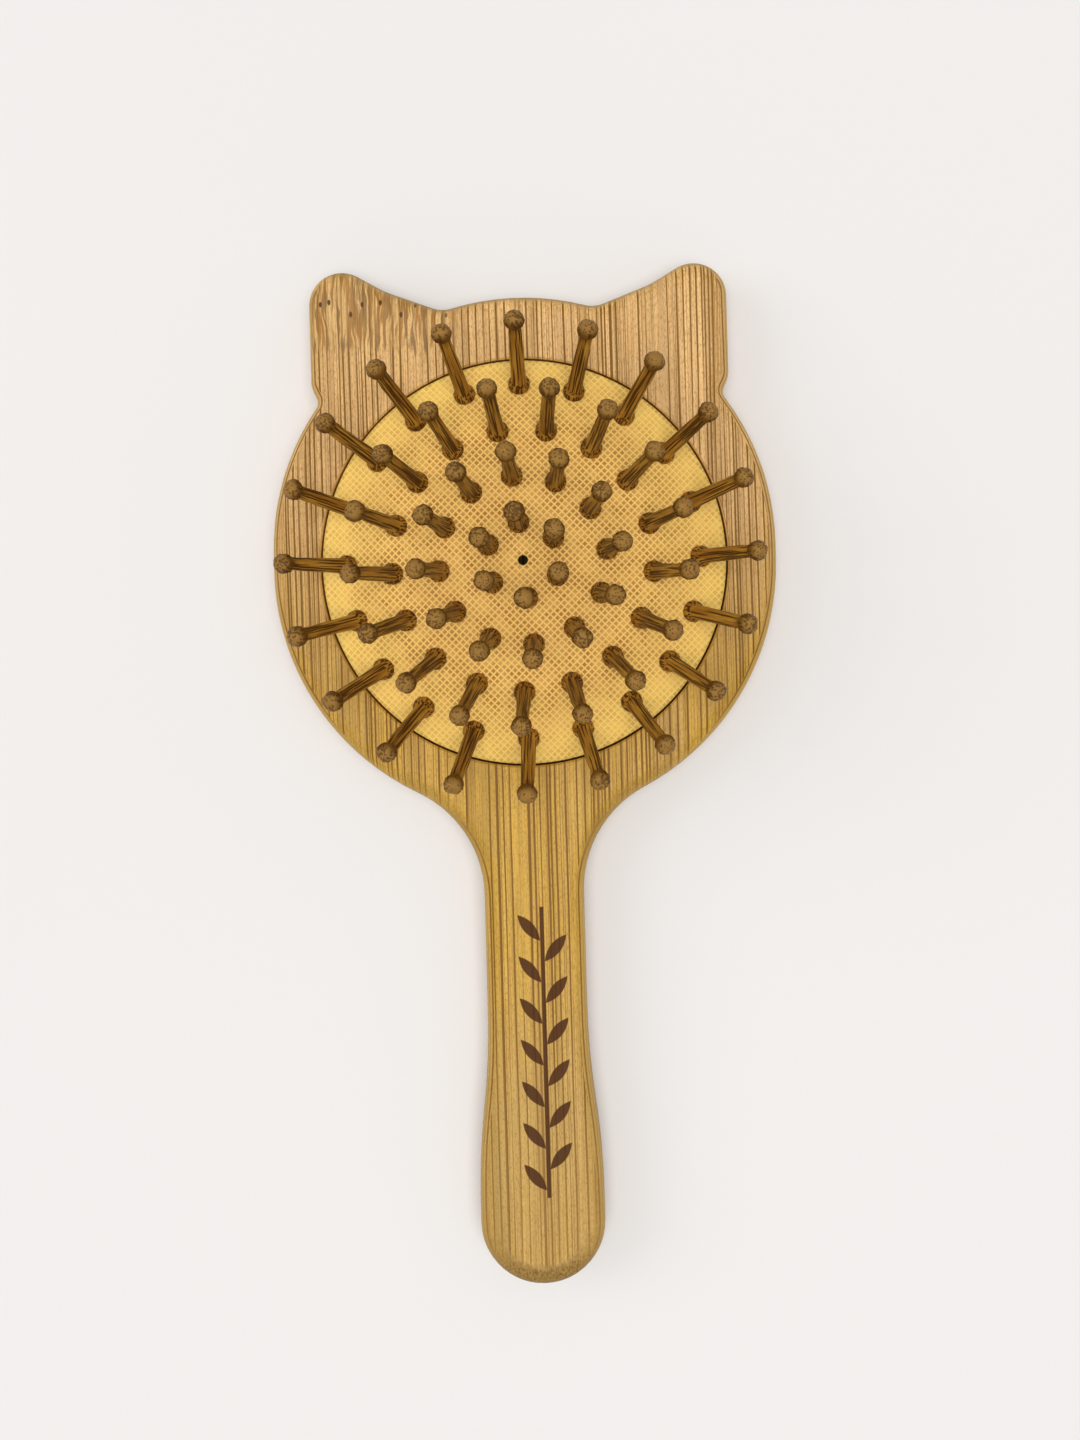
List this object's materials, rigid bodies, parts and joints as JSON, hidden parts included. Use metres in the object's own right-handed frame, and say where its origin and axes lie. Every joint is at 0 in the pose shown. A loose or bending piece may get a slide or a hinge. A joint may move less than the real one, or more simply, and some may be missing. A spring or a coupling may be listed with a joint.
{
  "type": "bristle brush",
  "caption": "Cat-eared bamboo cushion brush: flat laminated board with a slim grip, round domed rubber cushion with a vent, and splayed ball-tipped bamboo pins.",
  "frame": {"origin": "on the flat back face of the board, under the centre of the round cushion", "axes": "+Z out of the back face up through the cushion and the pins, +Y towards the ears, handle along -Y, +X to the right with the pins up and the ears away"},
  "size_m": [0.0852, 0.1722, 0.0384],
  "materials": {
    "board_bamboo": "laminated bamboo, sanded and oiled to a satin",
    "cushion_rubber": "matt golden-yellow rubber with a fine dimple grid",
    "pin_bamboo": "heat-darkened bamboo, turned, satin"
  },
  "bodies": {
    "board": {"bamboo_board": "board_bamboo"},
    "cushion": {"rubber_cushion": "cushion_rubber"},
    "pin_ring1_01": {"pin_ring1_01": "pin_bamboo"},
    "pin_ring1_02": {"pin_ring1_02": "pin_bamboo"},
    "pin_ring1_03": {"pin_ring1_03": "pin_bamboo"},
    "pin_ring1_04": {"pin_ring1_04": "pin_bamboo"},
    "pin_ring1_05": {"pin_ring1_05": "pin_bamboo"},
    "pin_ring1_06": {"pin_ring1_06": "pin_bamboo"},
    "pin_ring2_01": {"pin_ring2_01": "pin_bamboo"},
    "pin_ring2_02": {"pin_ring2_02": "pin_bamboo"},
    "pin_ring2_03": {"pin_ring2_03": "pin_bamboo"},
    "pin_ring2_04": {"pin_ring2_04": "pin_bamboo"},
    "pin_ring2_05": {"pin_ring2_05": "pin_bamboo"},
    "pin_ring2_06": {"pin_ring2_06": "pin_bamboo"},
    "pin_ring2_07": {"pin_ring2_07": "pin_bamboo"},
    "pin_ring2_08": {"pin_ring2_08": "pin_bamboo"},
    "pin_ring2_09": {"pin_ring2_09": "pin_bamboo"},
    "pin_ring2_10": {"pin_ring2_10": "pin_bamboo"},
    "pin_ring2_11": {"pin_ring2_11": "pin_bamboo"},
    "pin_ring2_12": {"pin_ring2_12": "pin_bamboo"},
    "pin_ring3_01": {"pin_ring3_01": "pin_bamboo"},
    "pin_ring3_02": {"pin_ring3_02": "pin_bamboo"},
    "pin_ring3_03": {"pin_ring3_03": "pin_bamboo"},
    "pin_ring3_04": {"pin_ring3_04": "pin_bamboo"},
    "pin_ring3_05": {"pin_ring3_05": "pin_bamboo"},
    "pin_ring3_06": {"pin_ring3_06": "pin_bamboo"},
    "pin_ring3_07": {"pin_ring3_07": "pin_bamboo"},
    "pin_ring3_08": {"pin_ring3_08": "pin_bamboo"},
    "pin_ring3_09": {"pin_ring3_09": "pin_bamboo"},
    "pin_ring3_10": {"pin_ring3_10": "pin_bamboo"},
    "pin_ring3_11": {"pin_ring3_11": "pin_bamboo"},
    "pin_ring3_12": {"pin_ring3_12": "pin_bamboo"},
    "pin_ring3_13": {"pin_ring3_13": "pin_bamboo"},
    "pin_ring3_14": {"pin_ring3_14": "pin_bamboo"},
    "pin_ring3_15": {"pin_ring3_15": "pin_bamboo"},
    "pin_ring3_16": {"pin_ring3_16": "pin_bamboo"},
    "pin_ring3_17": {"pin_ring3_17": "pin_bamboo"},
    "pin_ring4_01": {"pin_ring4_01": "pin_bamboo"},
    "pin_ring4_02": {"pin_ring4_02": "pin_bamboo"},
    "pin_ring4_03": {"pin_ring4_03": "pin_bamboo"},
    "pin_ring4_04": {"pin_ring4_04": "pin_bamboo"},
    "pin_ring4_05": {"pin_ring4_05": "pin_bamboo"},
    "pin_ring4_06": {"pin_ring4_06": "pin_bamboo"},
    "pin_ring4_07": {"pin_ring4_07": "pin_bamboo"},
    "pin_ring4_08": {"pin_ring4_08": "pin_bamboo"},
    "pin_ring4_09": {"pin_ring4_09": "pin_bamboo"},
    "pin_ring4_10": {"pin_ring4_10": "pin_bamboo"},
    "pin_ring4_11": {"pin_ring4_11": "pin_bamboo"},
    "pin_ring4_12": {"pin_ring4_12": "pin_bamboo"},
    "pin_ring4_13": {"pin_ring4_13": "pin_bamboo"},
    "pin_ring4_14": {"pin_ring4_14": "pin_bamboo"},
    "pin_ring4_15": {"pin_ring4_15": "pin_bamboo"},
    "pin_ring4_16": {"pin_ring4_16": "pin_bamboo"},
    "pin_ring4_17": {"pin_ring4_17": "pin_bamboo"},
    "pin_ring4_18": {"pin_ring4_18": "pin_bamboo"},
    "pin_ring4_19": {"pin_ring4_19": "pin_bamboo"},
    "pin_ring4_20": {"pin_ring4_20": "pin_bamboo"}
  },
  "joints": [
    {"name": "cushion_press", "type": "slide", "parent": "board", "child": "cushion", "axis": [0, 0, -1], "range_m": [0, 0.0025], "stiffness_N_per_m": 3200, "deforming": ["rubber_cushion"]},
    {"name": "tilt_ring1_01", "type": "hinge", "parent": "cushion", "child": "pin_ring1_01", "pos_m": [-0.00054, 0.00616, 0.01819], "axis": [0, 1, 0], "range_deg": [-12, 12], "stiffness_Nm_per_rad": 0.04},
    {"name": "tilt_ring1_02", "type": "hinge", "parent": "cushion", "child": "pin_ring1_02", "pos_m": [0.00506, 0.00354, 0.01819], "axis": [0, 1, 0], "range_deg": [-12, 12], "stiffness_Nm_per_rad": 0.04},
    {"name": "tilt_ring1_03", "type": "hinge", "parent": "cushion", "child": "pin_ring1_03", "pos_m": [0.0056, -0.00261, 0.01819], "axis": [0, 1, 0], "range_deg": [-12, 12], "stiffness_Nm_per_rad": 0.04},
    {"name": "tilt_ring1_04", "type": "hinge", "parent": "cushion", "child": "pin_ring1_04", "pos_m": [0.00054, -0.00616, 0.01819], "axis": [0, 1, 0], "range_deg": [-12, 12], "stiffness_Nm_per_rad": 0.04},
    {"name": "tilt_ring1_05", "type": "hinge", "parent": "cushion", "child": "pin_ring1_05", "pos_m": [-0.00506, -0.00354, 0.01819], "axis": [0, 1, 0], "range_deg": [-12, 12], "stiffness_Nm_per_rad": 0.04},
    {"name": "tilt_ring1_06", "type": "hinge", "parent": "cushion", "child": "pin_ring1_06", "pos_m": [-0.0056, 0.00261, 0.01819], "axis": [0, 1, 0], "range_deg": [-12, 12], "stiffness_Nm_per_rad": 0.04},
    {"name": "tilt_ring2_01", "type": "hinge", "parent": "cushion", "child": "pin_ring2_01", "pos_m": [-0.00142, 0.0137, 0.01766], "axis": [0, 1, 0], "range_deg": [-12, 12], "stiffness_Nm_per_rad": 0.04},
    {"name": "tilt_ring2_02", "type": "hinge", "parent": "cushion", "child": "pin_ring2_02", "pos_m": [0.00562, 0.01257, 0.01766], "axis": [0, 1, 0], "range_deg": [-12, 12], "stiffness_Nm_per_rad": 0.04},
    {"name": "tilt_ring2_03", "type": "hinge", "parent": "cushion", "child": "pin_ring2_03", "pos_m": [0.01116, 0.00808, 0.01766], "axis": [0, 1, 0], "range_deg": [-12, 12], "stiffness_Nm_per_rad": 0.04},
    {"name": "tilt_ring2_04", "type": "hinge", "parent": "cushion", "child": "pin_ring2_04", "pos_m": [0.0137, 0.00142, 0.01766], "axis": [0, 1, 0], "range_deg": [-12, 12], "stiffness_Nm_per_rad": 0.04},
    {"name": "tilt_ring2_05", "type": "hinge", "parent": "cushion", "child": "pin_ring2_05", "pos_m": [0.01257, -0.00562, 0.01766], "axis": [0, 1, 0], "range_deg": [-12, 12], "stiffness_Nm_per_rad": 0.04},
    {"name": "tilt_ring2_06", "type": "hinge", "parent": "cushion", "child": "pin_ring2_06", "pos_m": [0.00808, -0.01116, 0.01766], "axis": [0, 1, 0], "range_deg": [-12, 12], "stiffness_Nm_per_rad": 0.04},
    {"name": "tilt_ring2_07", "type": "hinge", "parent": "cushion", "child": "pin_ring2_07", "pos_m": [0.00142, -0.0137, 0.01766], "axis": [0, 1, 0], "range_deg": [-12, 12], "stiffness_Nm_per_rad": 0.04},
    {"name": "tilt_ring2_08", "type": "hinge", "parent": "cushion", "child": "pin_ring2_08", "pos_m": [-0.00562, -0.01257, 0.01766], "axis": [0, 1, 0], "range_deg": [-12, 12], "stiffness_Nm_per_rad": 0.04},
    {"name": "tilt_ring2_09", "type": "hinge", "parent": "cushion", "child": "pin_ring2_09", "pos_m": [-0.01116, -0.00808, 0.01766], "axis": [0, 1, 0], "range_deg": [-12, 12], "stiffness_Nm_per_rad": 0.04},
    {"name": "tilt_ring2_10", "type": "hinge", "parent": "cushion", "child": "pin_ring2_10", "pos_m": [-0.0137, -0.00142, 0.01766], "axis": [0, 1, 0], "range_deg": [-12, 12], "stiffness_Nm_per_rad": 0.04},
    {"name": "tilt_ring2_11", "type": "hinge", "parent": "cushion", "child": "pin_ring2_11", "pos_m": [-0.01257, 0.00562, 0.01766], "axis": [0, 1, 0], "range_deg": [-12, 12], "stiffness_Nm_per_rad": 0.04},
    {"name": "tilt_ring2_12", "type": "hinge", "parent": "cushion", "child": "pin_ring2_12", "pos_m": [-0.00808, 0.01116, 0.01766], "axis": [0, 1, 0], "range_deg": [-12, 12], "stiffness_Nm_per_rad": 0.04},
    {"name": "tilt_ring3_01", "type": "hinge", "parent": "cushion", "child": "pin_ring3_01", "pos_m": [-0.00356, 0.02103, 0.01613], "axis": [0, 1, 0], "range_deg": [-12, 12], "stiffness_Nm_per_rad": 0.04},
    {"name": "tilt_ring3_02", "type": "hinge", "parent": "cushion", "child": "pin_ring3_02", "pos_m": [0.00428, 0.02089, 0.01613], "axis": [0, 1, 0], "range_deg": [-12, 12], "stiffness_Nm_per_rad": 0.04},
    {"name": "tilt_ring3_03", "type": "hinge", "parent": "cushion", "child": "pin_ring3_03", "pos_m": [0.01154, 0.01793, 0.01613], "axis": [0, 1, 0], "range_deg": [-12, 12], "stiffness_Nm_per_rad": 0.04},
    {"name": "tilt_ring3_04", "type": "hinge", "parent": "cushion", "child": "pin_ring3_04", "pos_m": [0.01724, 0.01256, 0.01613], "axis": [0, 1, 0], "range_deg": [-12, 12], "stiffness_Nm_per_rad": 0.04},
    {"name": "tilt_ring3_05", "type": "hinge", "parent": "cushion", "child": "pin_ring3_05", "pos_m": [0.02061, 0.00548, 0.01613], "axis": [0, 1, 0], "range_deg": [-12, 12], "stiffness_Nm_per_rad": 0.04},
    {"name": "tilt_ring3_06", "type": "hinge", "parent": "cushion", "child": "pin_ring3_06", "pos_m": [0.0212, -0.00233, 0.01613], "axis": [0, 1, 0], "range_deg": [-12, 12], "stiffness_Nm_per_rad": 0.04},
    {"name": "tilt_ring3_07", "type": "hinge", "parent": "cushion", "child": "pin_ring3_07", "pos_m": [0.01892, -0.00983, 0.01613], "axis": [0, 1, 0], "range_deg": [-12, 12], "stiffness_Nm_per_rad": 0.04},
    {"name": "tilt_ring3_08", "type": "hinge", "parent": "cushion", "child": "pin_ring3_08", "pos_m": [0.01409, -0.016, 0.01613], "axis": [0, 1, 0], "range_deg": [-12, 12], "stiffness_Nm_per_rad": 0.04},
    {"name": "tilt_ring3_09", "type": "hinge", "parent": "cushion", "child": "pin_ring3_09", "pos_m": [0.00736, -0.02002, 0.01613], "axis": [0, 1, 0], "range_deg": [-12, 12], "stiffness_Nm_per_rad": 0.04},
    {"name": "tilt_ring3_10", "type": "hinge", "parent": "cushion", "child": "pin_ring3_10", "pos_m": [-0.00037, -0.02132, 0.01613], "axis": [0, 1, 0], "range_deg": [-12, 12], "stiffness_Nm_per_rad": 0.04},
    {"name": "tilt_ring3_11", "type": "hinge", "parent": "cushion", "child": "pin_ring3_11", "pos_m": [-0.00805, -0.01975, 0.01613], "axis": [0, 1, 0], "range_deg": [-12, 12], "stiffness_Nm_per_rad": 0.04},
    {"name": "tilt_ring3_12", "type": "hinge", "parent": "cushion", "child": "pin_ring3_12", "pos_m": [-0.01464, -0.01551, 0.01613], "axis": [0, 1, 0], "range_deg": [-12, 12], "stiffness_Nm_per_rad": 0.04},
    {"name": "tilt_ring3_13", "type": "hinge", "parent": "cushion", "child": "pin_ring3_13", "pos_m": [-0.01925, -0.00917, 0.01613], "axis": [0, 1, 0], "range_deg": [-12, 12], "stiffness_Nm_per_rad": 0.04},
    {"name": "tilt_ring3_14", "type": "hinge", "parent": "cushion", "child": "pin_ring3_14", "pos_m": [-0.02126, -0.0016, 0.01613], "axis": [0, 1, 0], "range_deg": [-12, 12], "stiffness_Nm_per_rad": 0.04},
    {"name": "tilt_ring3_15", "type": "hinge", "parent": "cushion", "child": "pin_ring3_15", "pos_m": [-0.02041, 0.00619, 0.01613], "axis": [0, 1, 0], "range_deg": [-12, 12], "stiffness_Nm_per_rad": 0.04},
    {"name": "tilt_ring3_16", "type": "hinge", "parent": "cushion", "child": "pin_ring3_16", "pos_m": [-0.01679, 0.01314, 0.01613], "axis": [0, 1, 0], "range_deg": [-12, 12], "stiffness_Nm_per_rad": 0.04},
    {"name": "tilt_ring3_17", "type": "hinge", "parent": "cushion", "child": "pin_ring3_17", "pos_m": [-0.01091, 0.01832, 0.01613], "axis": [0, 1, 0], "range_deg": [-12, 12], "stiffness_Nm_per_rad": 0.04},
    {"name": "tilt_ring4_01", "type": "hinge", "parent": "cushion", "child": "pin_ring4_01", "pos_m": [0, 0.02886, 0.01314], "axis": [0, 1, 0], "range_deg": [-12, 12], "stiffness_Nm_per_rad": 0.04},
    {"name": "tilt_ring4_02", "type": "hinge", "parent": "cushion", "child": "pin_ring4_02", "pos_m": [0.00892, 0.02744, 0.01314], "axis": [0, 1, 0], "range_deg": [-12, 12], "stiffness_Nm_per_rad": 0.04},
    {"name": "tilt_ring4_03", "type": "hinge", "parent": "cushion", "child": "pin_ring4_03", "pos_m": [0.01696, 0.02335, 0.01314], "axis": [0, 1, 0], "range_deg": [-12, 12], "stiffness_Nm_per_rad": 0.04},
    {"name": "tilt_ring4_04", "type": "hinge", "parent": "cushion", "child": "pin_ring4_04", "pos_m": [0.02335, 0.01696, 0.01314], "axis": [0, 1, 0], "range_deg": [-12, 12], "stiffness_Nm_per_rad": 0.04},
    {"name": "tilt_ring4_05", "type": "hinge", "parent": "cushion", "child": "pin_ring4_05", "pos_m": [0.02744, 0.00892, 0.01314], "axis": [0, 1, 0], "range_deg": [-12, 12], "stiffness_Nm_per_rad": 0.04},
    {"name": "tilt_ring4_06", "type": "hinge", "parent": "cushion", "child": "pin_ring4_06", "pos_m": [0.02886, 0, 0.01314], "axis": [0, 1, 0], "range_deg": [-12, 12], "stiffness_Nm_per_rad": 0.04},
    {"name": "tilt_ring4_07", "type": "hinge", "parent": "cushion", "child": "pin_ring4_07", "pos_m": [0.02744, -0.00892, 0.01314], "axis": [0, 1, 0], "range_deg": [-12, 12], "stiffness_Nm_per_rad": 0.04},
    {"name": "tilt_ring4_08", "type": "hinge", "parent": "cushion", "child": "pin_ring4_08", "pos_m": [0.02335, -0.01696, 0.01314], "axis": [0, 1, 0], "range_deg": [-12, 12], "stiffness_Nm_per_rad": 0.04},
    {"name": "tilt_ring4_09", "type": "hinge", "parent": "cushion", "child": "pin_ring4_09", "pos_m": [0.01696, -0.02335, 0.01314], "axis": [0, 1, 0], "range_deg": [-12, 12], "stiffness_Nm_per_rad": 0.04},
    {"name": "tilt_ring4_10", "type": "hinge", "parent": "cushion", "child": "pin_ring4_10", "pos_m": [0.00892, -0.02744, 0.01314], "axis": [0, 1, 0], "range_deg": [-12, 12], "stiffness_Nm_per_rad": 0.04},
    {"name": "tilt_ring4_11", "type": "hinge", "parent": "cushion", "child": "pin_ring4_11", "pos_m": [0, -0.02886, 0.01314], "axis": [0, 1, 0], "range_deg": [-12, 12], "stiffness_Nm_per_rad": 0.04},
    {"name": "tilt_ring4_12", "type": "hinge", "parent": "cushion", "child": "pin_ring4_12", "pos_m": [-0.00892, -0.02744, 0.01314], "axis": [0, 1, 0], "range_deg": [-12, 12], "stiffness_Nm_per_rad": 0.04},
    {"name": "tilt_ring4_13", "type": "hinge", "parent": "cushion", "child": "pin_ring4_13", "pos_m": [-0.01696, -0.02335, 0.01314], "axis": [0, 1, 0], "range_deg": [-12, 12], "stiffness_Nm_per_rad": 0.04},
    {"name": "tilt_ring4_14", "type": "hinge", "parent": "cushion", "child": "pin_ring4_14", "pos_m": [-0.02335, -0.01696, 0.01314], "axis": [0, 1, 0], "range_deg": [-12, 12], "stiffness_Nm_per_rad": 0.04},
    {"name": "tilt_ring4_15", "type": "hinge", "parent": "cushion", "child": "pin_ring4_15", "pos_m": [-0.02744, -0.00892, 0.01314], "axis": [0, 1, 0], "range_deg": [-12, 12], "stiffness_Nm_per_rad": 0.04},
    {"name": "tilt_ring4_16", "type": "hinge", "parent": "cushion", "child": "pin_ring4_16", "pos_m": [-0.02886, 0, 0.01314], "axis": [0, 1, 0], "range_deg": [-12, 12], "stiffness_Nm_per_rad": 0.04},
    {"name": "tilt_ring4_17", "type": "hinge", "parent": "cushion", "child": "pin_ring4_17", "pos_m": [-0.02744, 0.00892, 0.01314], "axis": [0, 1, 0], "range_deg": [-12, 12], "stiffness_Nm_per_rad": 0.04},
    {"name": "tilt_ring4_18", "type": "hinge", "parent": "cushion", "child": "pin_ring4_18", "pos_m": [-0.02335, 0.01696, 0.01314], "axis": [0, 1, 0], "range_deg": [-12, 12], "stiffness_Nm_per_rad": 0.04},
    {"name": "tilt_ring4_19", "type": "hinge", "parent": "cushion", "child": "pin_ring4_19", "pos_m": [-0.01696, 0.02335, 0.01314], "axis": [0, 1, 0], "range_deg": [-12, 12], "stiffness_Nm_per_rad": 0.04},
    {"name": "tilt_ring4_20", "type": "hinge", "parent": "cushion", "child": "pin_ring4_20", "pos_m": [-0.00892, 0.02744, 0.01314], "axis": [0, 1, 0], "range_deg": [-12, 12], "stiffness_Nm_per_rad": 0.04}
  ]
}
